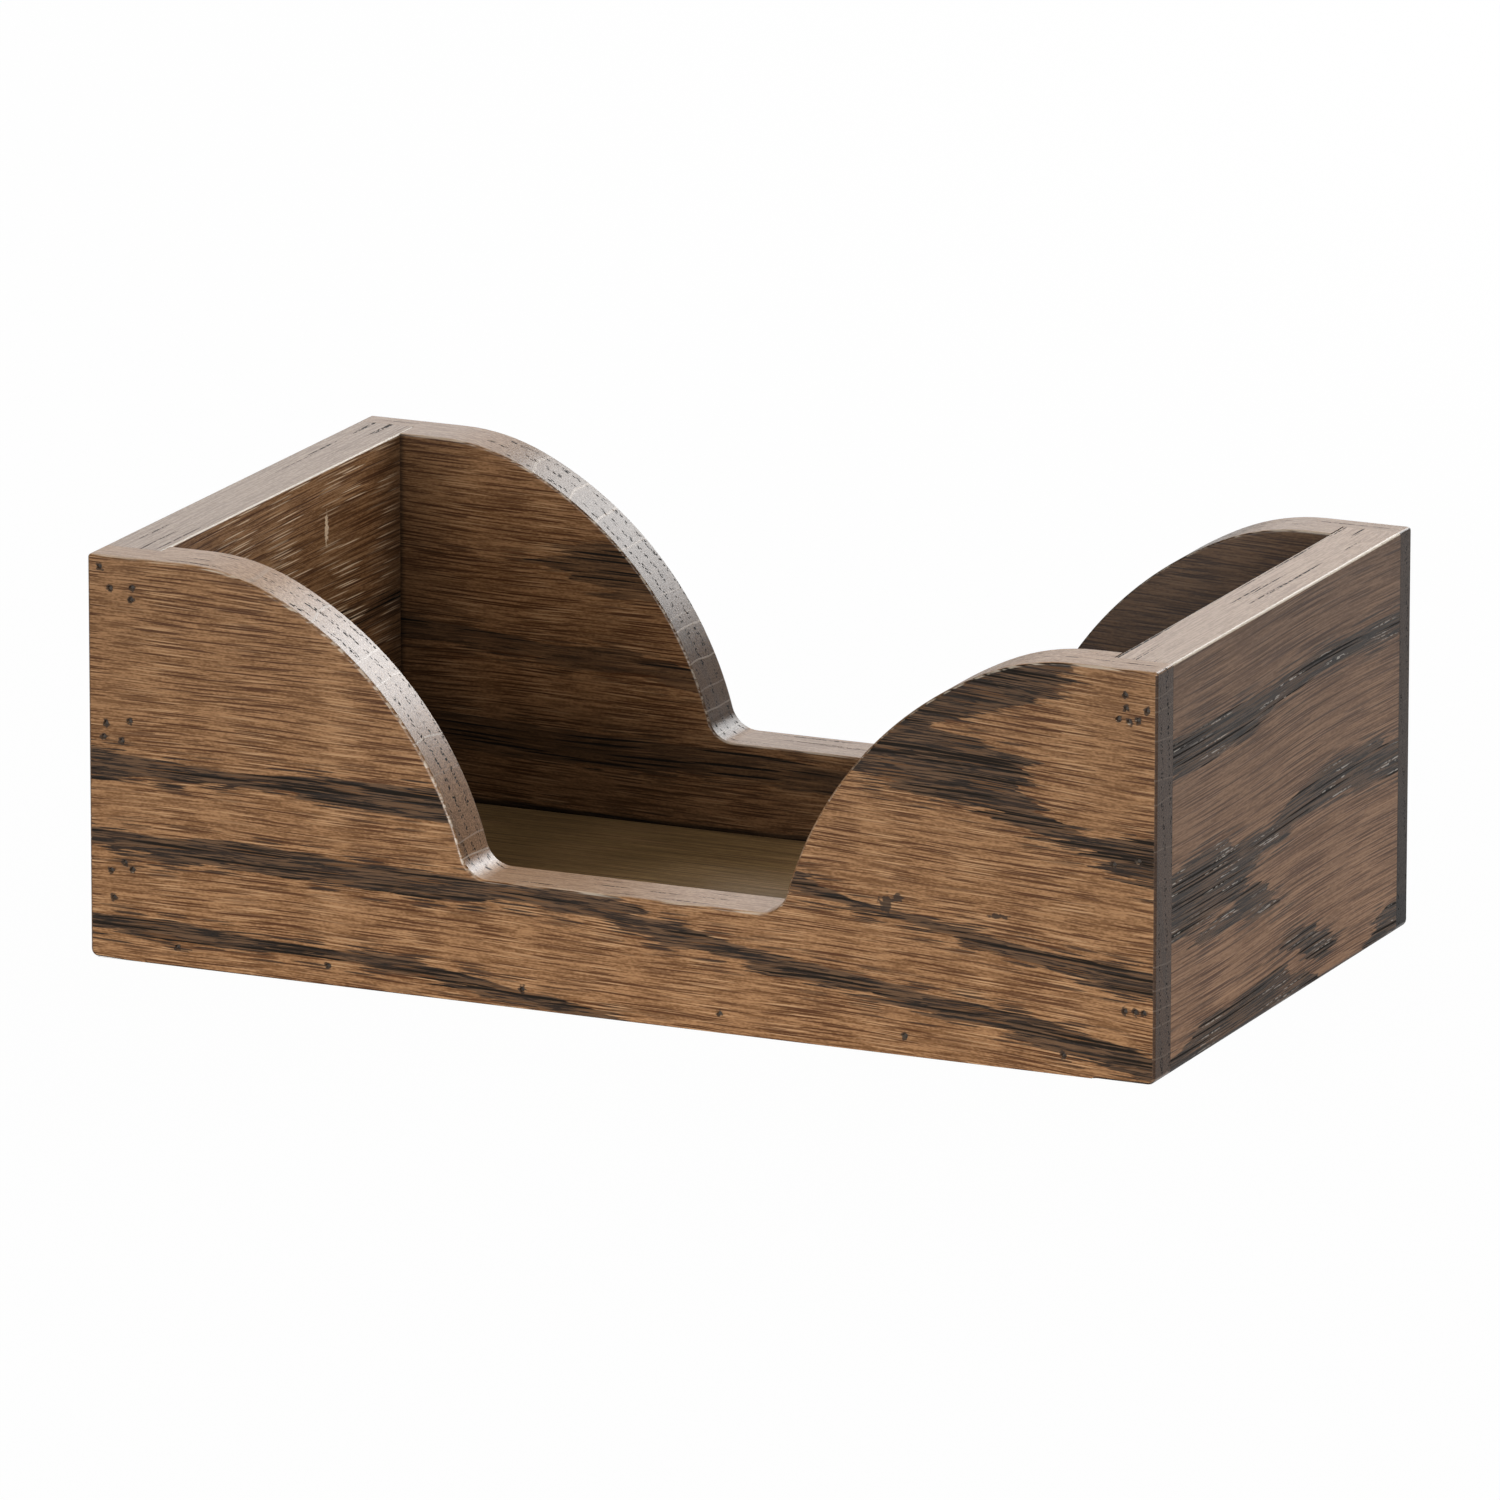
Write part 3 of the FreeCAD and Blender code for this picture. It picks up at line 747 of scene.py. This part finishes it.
rightEndFigure = {
    "turn": (0, 0, -90),
    "ringShift": 1.3,
    "shade": (1.22, 0.60),
    "squeeze": 0.5,
    "paintedHighlight": 0.9,
    "patchy": (0.1, 0.2),
    "levelTone": (1.05, 1.0, 0.95),
    "faceCoat": 0.22,
    "bandFlecks": 0.6,
    "origin": (66.5, 117.5, 0.0),
    "reach": 133.0,
    "grainAxis": 1,
    "seed": (700.0, 90.0, 260.0),
    "run": [(0, 50), (40, 50), (90, 51), (133, 50)],
    "bands": [
        {"upper": [(0, 68), (20, 68.5), (43, 68.3), (57, 67.6), (72, 68.8), (80, 69.4), (93, 69.2),
                   (133, 68.0)],
         "lower": [(0, 61.8), (20, 60.4), (43, 60.6), (57, 62.4), (72, 63.8), (80, 64.4), (107, 64.2),
                   (133, 63.0)]},
        {"upper": [(0, 40.5), (22, 42.2), (33, 42.2), (43, 39.5), (55, 39.2), (67, 40.5), (75, 43.3),
                   (87, 44.2), (100, 44.2), (113, 43.8), (127, 40.5), (133, 40)],
         "lower": [(0, 26.5), (22, 27.5), (33, 28.3), (42, 29.2), (48, 32.5), (57, 34.2), (67, 34.7),
                   (75, 36.2), (87, 37), (97, 37), (107, 35.8), (117, 34.7), (127, 33.7), (133, 33)]},
        {"upper": [(0, 20), (18, 24), (25, 26.5), (38, 27.5), (50, 29.2), (58, 26.7), (65, 22.8),
                   (75, 18), (133, 10)],
         "lower": [(0, 24), (18, 25), (25, 22.8), (38, 23.2), (50, 22.2), (58, 21.2), (65, 21.7),
                   (75, 22), (133, 16)]},
        {"upper": [(0, 8), (60, 11), (67, 13.3), (75, 14.2), (83, 12.2), (90, 9.2), (98, 7), (133, 2)],
         "lower": [(0, 12), (60, 12.5), (67, 11.7), (75, 9.2), (83, 5.8), (90, 5.0), (98, 8), (133, 8)]},
        {"upper": [(0, 3), (17, 4.5), (27, 7.2), (47, 7.2), (57, 8.3), (67, 8.3), (73, 5.8), (83, 2.5),
                   (92, 0), (108, -1), (116, 5.5), (122, 7), (133, 5)],
         "lower": [(0, -6), (133, -6)]},
    ],
}

leftEndFigure = {
    "turn": (0, 0, -90),
    "ringShift": 0.6,
    "strength": 0.3,
    # shade and corners paint shade on the inner face: low down, towards the back corner and along the floor's
    # joint
    "shade": (0.38, 1.12),
    "levelTone": (0.85, 0.85, 0.85),
    "relief": 1.0,
    "paintedGlints": {"up": (22.0, 46.0), "along": (122.0, 108.0)},
    "pale": [(85.0, 71.7, 0.8, 3.2)],
    "paintedHighlight": 0.9,
    "patchy": (0.1, 0.2),
    "squeeze": 0.6,
    "corners": [("along", 120.0, 102.0, 0.45), ("up", 7.1, 8.0, 0.3)],
    "origin": (66.5, -104.8, 0.0),
    "reach": 133.0,
    "grainAxis": 1,
    "seed": (1200.0, 20.0, 410.0),
    "run": [(0, 50), (60, 51), (133, 50)],
    "bands": [
        {"upper": [(0, 52), (50, 54), (90, 53), (133, 50)],
         "lower": [(0, 46), (50, 48), (90, 48), (133, 45)]},
        {"upper": [(0, 26), (50, 28), (90, 27), (133, 24)],
         "lower": [(0, 19), (50, 20), (90, 21), (133, 18)]},
    ],
}

floorFigure = {
    "turn": (90, 0, 0),
    "origin": (117.5, 6.8, 66.5),
    "squeeze": 0.5,
    "faceCoat": 0.3,
    "strength": 0.4,
    "rings": False,
    "shade": (1.2, 1.2),
    # painted shade towards the floor's left end
    "corners": [("along", 50.0, 110.0, 0.62)],
    "reach": 235.0,
    "grainAxis": 0,
    "seed": (1700.0, 60.0, 530.0),
    "run": [(0, 50), (120, 50.5), (235, 50)],
    "bands": [],
}

print("oak materials: figure and stain groups ready")

boardShape = {
    "thickness": 12.7 * mm,
    "frontLip": 8.2 * mm,          # wood over the front ends of the end boards
    "backLip": 6.0 * mm,
    "shoulderWidth": 27.7 * mm,    # from the end to where a centred lobe's arc meets the level top
    "lobeStart": 15.7,             # slope of the lobe there, degrees
    "shoulderRadius": 45.0 * mm,
    "notchWidth": 69.4 * mm,
    "notchOffset": 1.7 * mm,       # lobes and notch lie this far right of the middle
    "notchHeight": 25.8 * mm,
    "footRadius": 6.0 * mm,
    "shoulderSteps": 8,
    "lobeSteps": 48,
    "footSteps": 10,
    "cornerEasing": 1.5 * mm,      # bottom edges of both ends
    "outerEasing": 0.7 * mm,
    "innerEasing": 0.5 * mm,
    "easingSteps": 4,
    "seamEasing": 0.18 * mm,
    "seamSteps": 2,
}

meshing = {
    "same": 0.01 * mm,             # places this near are the same
    "flat": 0.002,                 # radians between faces that are one
    "sharp": 35,                   # degrees between faces that don't shade as one
}


def arcPoints(centre, start, end, steps):
    # points from start to end about a centre, start left out
    first = math.atan2(start[1] - centre[1], start[0] - centre[0])
    last = math.atan2(end[1] - centre[1], end[0] - centre[0])
    radius = math.dist(centre, start)
    turns = [first + (last - first) * step / steps for step in range(1, steps + 1)]
    return [(centre[0] + radius * math.cos(turn), centre[1] + radius * math.sin(turn)) for turn in turns]


def towards(centre, other, reach):
    gap = math.dist(centre, other)
    return tuple(c + (o - c) * reach / gap for c, o in zip(centre, other))


def lobeOutline(shape, halfLength, height):
    # a centred right lobe, from the level top down to the end of the notch floor
    run = halfLength - shape["shoulderWidth"] - shape["notchWidth"] / 2
    rise = height - shape["notchHeight"]
    start = math.radians(shape["lobeStart"])
    radius = math.hypot(run, rise) / (2 * math.sin(math.atan2(rise, run) - start))
    lobe = (halfLength - shape["shoulderWidth"] + radius * math.sin(start), height - radius * math.cos(start))

    def blendCentre(distance, level):
        return (lobe[0] - math.sqrt(distance ** 2 - (level - lobe[1]) ** 2), level)

    shoulder = blendCentre(radius - shape["shoulderRadius"], height - shape["shoulderRadius"])
    foot = blendCentre(radius + shape["footRadius"], shape["notchHeight"] + shape["footRadius"])
    shoulderEnd = towards(lobe, shoulder, radius)
    footStart = towards(lobe, foot, radius)
    points = [(shoulder[0], height)]
    points += arcPoints(shoulder, points[0], shoulderEnd, shape["shoulderSteps"])
    points += arcPoints(lobe, shoulderEnd, footStart, shape["lobeSteps"])
    points += arcPoints(foot, footStart, (foot[0], shape["notchHeight"]), shape["footSteps"])
    return points


def near(value, target):
    return abs(value - target) < meshing["same"]


def both(axis, a, b, target):
    # an edge's two ends at the same place on an axis
    return near(a[axis], target) and near(b[axis], target)


def newParts(grown, kind):
    return [item for item in grown["geom"] if isinstance(item, kind)]


def pushFaces(bm, faces, way):
    grown = bmesh.ops.extrude_face_region(bm, geom=faces)
    bmesh.ops.translate(bm, verts=newParts(grown, bmesh.types.BMVert), vec=way)
    bmesh.ops.delete(bm, geom=faces, context="FACES_ONLY")


def boxMesh(low, high):
    bm = bmesh.new()
    bmesh.ops.create_cube(bm, size=1.0)
    bmesh.ops.scale(bm, verts=bm.verts[:], vec=[b - a for a, b in zip(low, high)])
    bmesh.ops.translate(bm, verts=bm.verts[:], vec=[(a + b) / 2 for a, b in zip(low, high)])
    return bm


def easeEdges(bm, offset, steps, test):
    chosen = [edge for edge in bm.edges if test(*(vert.co for vert in edge.verts))]
    bmesh.ops.bevel(bm, geom=chosen, offset=offset, segments=steps, affect="EDGES", profile=0.5, material=-1,
                    clamp_overlap=True)


def easeBoard(bm, shape, corners, outerRim, innerRim, seams):
    easeEdges(bm, shape["cornerEasing"], shape["easingSteps"], corners)
    easeEdges(bm, shape["outerEasing"], shape["easingSteps"], outerRim)
    easeEdges(bm, shape["innerEasing"], shape["easingSteps"], innerRim)
    easeEdges(bm, shape["seamEasing"], shape["seamSteps"], seams)


def finishMesh(bm, name, material):
    bmesh.ops.recalc_face_normals(bm, faces=bm.faces[:])
    for face in bm.faces:
        face.smooth = True
    mesh = bpy.data.meshes.new(name)
    bm.to_mesh(mesh)
    bm.free()
    piece = bpy.data.objects.new(name, mesh)
    bpy.context.scene.collection.objects.link(piece)
    mesh.materials.append(material)
    mesh.set_sharp_from_angle(angle=math.radians(meshing["sharp"]))
    weighted = piece.modifiers.new("evenShading", "WEIGHTED_NORMAL")
    weighted.keep_sharp = True
    weighted.weight = 100
    return piece


def makeLongBoard(name, node, shape, lip, material):
    low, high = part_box(node)
    halfLength = high[0]
    height = high[2]
    innerHalf = halfLength - shape["thickness"]
    atBack = high[1] > 0
    faceY = high[1] if atBack else low[1]
    innerY = low[1] if atBack else high[1]
    inwards = -1 if atBack else 1
    lipY = faceY + inwards * lip
    lobe = lobeOutline(shape, halfLength, height)
    shift = shape["notchOffset"]
    right = [(innerHalf, height)] + [(shift + x, z) for x, z in lobe]
    left = [(shift - x, z) for x, z in reversed(lobe)] + [(-innerHalf, height)]
    loop = [(-innerHalf, 0), (innerHalf, 0)] + right + left
    bm = bmesh.new()
    show = bm.faces.new([bm.verts.new((x, faceY, z)) for x, z in loop])
    lipPart = bmesh.ops.extrude_face_region(bm, geom=[show])
    bmesh.ops.translate(bm, verts=newParts(lipPart, bmesh.types.BMVert), vec=(0, inwards * lip, 0))
    ends = [face for face in bm.faces if all(near(abs(vert.co.x), innerHalf) for vert in face.verts)]
    pushFaces(bm, newParts(lipPart, bmesh.types.BMFace), (0, innerY - lipY, 0))
    for end in ends:
        side = math.copysign(1, end.verts[0].co.x)
        pushFaces(bm, [end], (side * shape["thickness"], 0, 0))
    bmesh.ops.dissolve_limit(bm, angle_limit=meshing["flat"], verts=bm.verts[:], edges=bm.edges[:])

    def atEnd(a, b):
        return near(abs(a.x), halfLength) and near(a.x, b.x)

    def corners(a, b):
        return both(2, a, b, 0) and atEnd(a, b)

    def outerRim(a, b):
        return both(1, a, b, faceY) or (both(2, a, b, height) and atEnd(a, b))

    def innerRim(a, b):
        return both(1, a, b, innerY) and min(a.z, b.z) > shape["notchHeight"] - 0.1 * mm

    def seams(a, b):
        atTop = both(2, a, b, height)
        inRabbet = both(1, a, b, lipY) and (atEnd(a, b) or atTop)
        acrossTop = near(abs(a.x), innerHalf) and near(a.x, b.x) and atTop
        return inRabbet or acrossTop

    easeBoard(bm, shape, corners, outerRim, innerRim, seams)
    piece = finishMesh(bm, name, material)
    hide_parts(node)
    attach(piece, "root")
    return piece


def makeEndBoard(name, node, shape, material):
    low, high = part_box(node)
    onRight = high[0] > 0
    outerX = high[0] if onRight else low[0]
    innerX = low[0] if onRight else high[0]
    height = high[2]
    bm = boxMesh(low, high)

    def foot(a, b):
        return both(0, a, b, outerX) and both(2, a, b, 0)

    def outerRim(a, b):
        return both(0, a, b, outerX) and both(2, a, b, height)

    def innerRim(a, b):
        return both(0, a, b, innerX) and both(2, a, b, height)

    def seams(a, b):
        return near(a.y, b.y) and (near(a.x, b.x) or both(2, a, b, height))

    easeBoard(bm, shape, foot, outerRim, innerRim, seams)
    piece = finishMesh(bm, name, material)
    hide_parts(node)
    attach(piece, "root")


floorShape = {
    "easing": 0.6 * mm,
    "easingSteps": 2,
}


def makeFloorPanel(name, node, shape, material):
    low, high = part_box(node)
    bm = boxMesh(low, high)
    easeEdges(bm, shape["easing"], shape["easingSteps"], lambda a, b: both(2, a, b, high[2]))
    piece = finishMesh(bm, name, material)
    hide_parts(node)
    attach(piece, "root")


bradMarks = {
    "halo": 0.80,                  # mm of stain round a head
    "mouth": 0.66 * mm,
    "bottom": 0.40 * mm,
    "pitDepth": 0.54 * mm,
    "pitSides": 9,
    "ragged": (0.72, 1.12),
    "seed": 11,
    "weld": 0.001 * mm,
    "apart": 0.2 * mm,             # heads nearer than this are the same one
}


def bradPlaces(nodeNames):
    # (x, z) of the brads that each node holds
    places = []
    for name in nodeNames:
        bm = bmesh.new()
        bm.from_mesh(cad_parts[name].data)
        bmesh.ops.remove_doubles(bm, verts=bm.verts[:], dist=bradMarks["weld"])
        unseen = set(bm.verts)
        while unseen:
            island = []
            queue = [unseen.pop()]
            while queue:
                vert = queue.pop()
                island.append(vert.co.copy())
                linked = {edge.other_vert(vert) for edge in vert.link_edges} & unseen
                unseen -= linked
                queue.extend(linked)
            xs = [co.x for co in island]
            zs = [co.z for co in island]
            places.append(((min(xs) + max(xs)) / 2, (min(zs) + max(zs)) / 2))
        bm.free()
    merged = []
    for place in sorted(places):
        if all(math.dist(place, other) > bradMarks["apart"] for other in merged):
            merged.append(place)
    return merged


frontBrads = bradPlaces(["front_left_corner_brads", "front_right_corner_brads", "floor_front_brads"])
backBrads = bradPlaces(["back_left_corner_brads", "back_right_corner_brads", "floor_back_brads"])


def haloMarks(places, figure):
    middle = figure["origin"][0]
    return [(x / mm + middle, z / mm, bradMarks["halo"], bradMarks["halo"]) for x, z in places]


def cutPits(board, places, faceY, shape):
    # shallow ragged pits over the brad heads; each cutter is a cone that stands half out of the face
    outwards = math.copysign(1, faceY)
    ragged = random.Random(shape["seed"])
    bm = bmesh.new()
    for x, z in places:
        turned = Matrix.Translation((x, faceY, z)) @ Matrix.Rotation(math.radians(-90 * outwards), 4, "X")
        mouth = 2 * shape["mouth"] - shape["bottom"]
        made = bmesh.ops.create_cone(bm, cap_ends=True, segments=shape["pitSides"], radius1=shape["bottom"],
                                     radius2=mouth, depth=2 * shape["pitDepth"], matrix=turned)
        for vert in made["verts"]:
            pull = ragged.uniform(*shape["ragged"])
            vert.co.x = x + (vert.co.x - x) * pull
            vert.co.z = z + (vert.co.z - z) * pull
    mesh = bpy.data.meshes.new("pitCutter")
    bm.to_mesh(mesh)
    bm.free()
    cutter = bpy.data.objects.new("pitCutter", mesh)
    bpy.context.scene.collection.objects.link(cutter)
    cut = board.modifiers.new("pits", "BOOLEAN")
    cut.operation = "DIFFERENCE"
    cut.solver = "EXACT"
    cut.use_self = True
    cut.object = cutter
    weighted = board.modifiers["evenShading"]
    weighted.show_viewport = False
    bpy.context.view_layer.update()
    graph = bpy.context.evaluated_depsgraph_get()
    result = bpy.data.meshes.new_from_object(board.evaluated_get(graph))
    board.modifiers.remove(cut)
    weighted.show_viewport = True
    old = board.data
    board.data = result
    bpy.data.meshes.remove(old)
    bpy.data.objects.remove(cutter)
    bpy.data.meshes.remove(mesh)


frontMarks = haloMarks(frontBrads, frontFigure) + frontFigure["knots"]
frontBoard = makeLongBoard("frontBoard", "front_board", boardShape, boardShape["frontLip"],
                           makeOak("frontOak", frontFigure, stainColours, frontMarks))
cutPits(frontBoard, frontBrads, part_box("front_board")[0].y, bradMarks)
backBoard = makeLongBoard("backBoard", "back_board", boardShape, boardShape["backLip"],
                          makeOak("backOak", backFigure, stainColours))
cutPits(backBoard, backBrads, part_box("back_board")[1].y, bradMarks)
makeEndBoard("leftEndBoard", "left_end_board", boardShape,
             makeOak("leftEndOak", leftEndFigure, stainColours))
makeEndBoard("rightEndBoard", "right_end_board", boardShape,
             makeOak("rightEndOak", rightEndFigure, rightColours))
makeFloorPanel("floorPanel", "floor_panel", floorShape, makeOak("floorOak", floorFigure, floorColours))
print("boards made")

bradSteel = {
    "dark": (0.036, 0.029, 0.024),
    "light": (0.085, 0.070, 0.058),
    "grimePerMm": (1.6, 1.6, 1.6),
    "grimeDetail": 3.0,
    "grime": (0.35, 0.65),
    "roughness": (0.35, 0.7),
    "metallic": 0.6,
}


def makeBradSteel(steel):
    material = bpy.data.materials.new("bradSteel")
    material.use_nodes = True
    tree = material.node_tree
    shader = tree.nodes["Principled BSDF"]
    place = tree.nodes.new("ShaderNodeTexCoord")
    scaled = vectorMaths(tree, "MULTIPLY", place.outputs["Object"], (1 / mm, 1 / mm, 1 / mm))
    grime = noise(tree, scaled, steel["grimePerMm"], steel["grimeDetail"])
    colour = tint(tree, between(tree, grime, *steel["grime"]), steel["dark"], steel["light"])
    tree.links.new(colour, shader.inputs["Base Color"])
    tree.links.new(scaleTo(tree, grime, *steel["roughness"]), shader.inputs["Roughness"])
    shader.inputs["Metallic"].default_value = steel["metallic"]
    return material


def finishBrads(material):
    for node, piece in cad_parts.items():
        if node.endswith("_brads"):
            for slot in piece.material_slots:
                slot.material = material


finishBrads(makeBradSteel(bradSteel))
print("brads finished")

studio = {
    "floorSize": 14.0,
    "floorColour": (0.80, 0.80, 0.80, 1.0),
    "floorRoughness": 0.9,
    "floorSpecular": 0.1,
    "whiteShare": 0.98,            # how much of the floor is plain white to the camera
    "glossShare": 0.3,             # and to reflections
    "worldColour": (1.0, 1.0, 1.0, 1.0),
    "worldStrength": 0.17,
    "lightAim": (0, 0, 0.04),
}


def makeStudioFloor(s):
    bm = bmesh.new()
    bmesh.ops.create_grid(bm, x_segments=1, y_segments=1, size=s["floorSize"] / 2)
    mesh = bpy.data.meshes.new("studioFloor")
    bm.to_mesh(mesh)
    bm.free()
    floor = bpy.data.objects.new("studioFloor", mesh)
    bpy.context.scene.collection.objects.link(floor)
    material = bpy.data.materials.new("paleFloor")
    material.use_nodes = True
    tree = material.node_tree
    shader = tree.nodes["Principled BSDF"]
    shader.inputs["Base Color"].default_value = s["floorColour"]
    shader.inputs["Roughness"].default_value = s["floorRoughness"]
    shader.inputs["Specular IOR Level"].default_value = s["floorSpecular"]
    white = tree.nodes.new("ShaderNodeEmission")
    path = tree.nodes.new("ShaderNodeLightPath")
    seen = maths(tree, "MULTIPLY", path.outputs["Is Camera Ray"], s["whiteShare"])
    shiny = maths(tree, "MULTIPLY", path.outputs["Is Glossy Ray"], s["glossShare"])
    through = maths(tree, "MULTIPLY", path.outputs["Is Transmission Ray"], s["whiteShare"])
    share = maths(tree, "ADD", maths(tree, "ADD", seen, shiny), through, clamp=True)
    mix = tree.nodes.new("ShaderNodeMixShader")
    tree.links.new(share, mix.inputs[0])
    tree.links.new(shader.outputs[0], mix.inputs[1])
    tree.links.new(white.outputs[0], mix.inputs[2])
    tree.links.new(mix.outputs[0], tree.nodes["Material Output"].inputs["Surface"])
    mesh.materials.append(material)


def makeWorld(s):
    world = bpy.data.worlds.new("studioLight")
    bpy.context.scene.world = world
    world.use_nodes = True
    backdrop = world.node_tree.nodes["Background"]
    backdrop.inputs["Color"].default_value = s["worldColour"]
    backdrop.inputs["Strength"].default_value = s["worldStrength"]


makeStudioFloor(studio)
makeWorld(studio)

# metres and watts
softLights = {
    "backSoftbox": {"place": (0.1, 1.0, 0.5), "size": (0.6, 0.6), "power": 5.0},
    "backLeftSoftbox": {"place": (-0.5, 1.0, 0.45), "size": (0.5, 0.6), "power": 1.2},
    "frontSoftbox": {"place": (-0.2, -1.8, 0.3), "size": (1.6, 0.6), "power": 15.0},
    "frontHighSoftbox": {"place": (-0.3, -1.4, 1.3), "size": (1.4, 1.0), "power": 2.0},
    "rightSoftbox": {"place": (1.4, -1.1, 0.4), "size": (1.0, 0.8), "power": 10.5},
    "topSoftbox": {"place": (0.0, 0.0, 1.8), "size": (1.2, 1.2), "power": 3.0},
}


def makeLights(lights, aim):
    for name, light in lights.items():
        data = bpy.data.lights.new(name, "AREA")
        data.shape = "RECTANGLE"
        data.size, data.size_y = light["size"]
        data.energy = light["power"]
        lamp = bpy.data.objects.new(name, data)
        lamp.location = light["place"]
        lamp.rotation_euler = (Vector(aim) - lamp.location).to_track_quat("-Z", "Y").to_euler()
        bpy.context.scene.collection.objects.link(lamp)


makeLights(softLights, studio["lightAim"])
print("floor and lights ready")

cameraView = {
    "azimuth": 24.285,             # degrees round from the front towards the right end
    "elevation": 14.6,
    "roll": 0.075,
    "lens": 392.16,                # mm, and the sensor's width too
    "sensor": 36.0,
    "distance": 3.338,
    "aimRight": -0.00026,          # where the view's centre passes, along the frame's own right and up
    "aimUp": 0.03894,
    "farthest": 50.0,
}


def makeCamera(view):
    azimuth = math.radians(view["azimuth"])
    elevation = math.radians(view["elevation"])
    roll = math.radians(view["roll"])
    back = Vector((math.sin(azimuth) * math.cos(elevation), -math.cos(azimuth) * math.cos(elevation),
                   math.sin(elevation)))
    level = Vector((math.cos(azimuth), math.sin(azimuth), 0))
    upright = back.cross(level)
    right = level * math.cos(roll) + upright * math.sin(roll)
    up = upright * math.cos(roll) - level * math.sin(roll)
    data = bpy.data.cameras.new("studioCamera")
    data.sensor_width = view["sensor"]
    data.lens = view["lens"]
    data.clip_end = view["farthest"]
    camera = bpy.data.objects.new("studioCamera", data)
    place = right * view["aimRight"] + up * view["aimUp"] + back * view["distance"]
    camera.matrix_world = Matrix.Translation(place) @ Matrix((right, up, back)).transposed().to_4x4()
    bpy.context.scene.collection.objects.link(camera)
    bpy.context.scene.camera = camera


makeCamera(cameraView)
bpy.context.scene.view_settings.view_transform = "Standard"
print("camera placed")
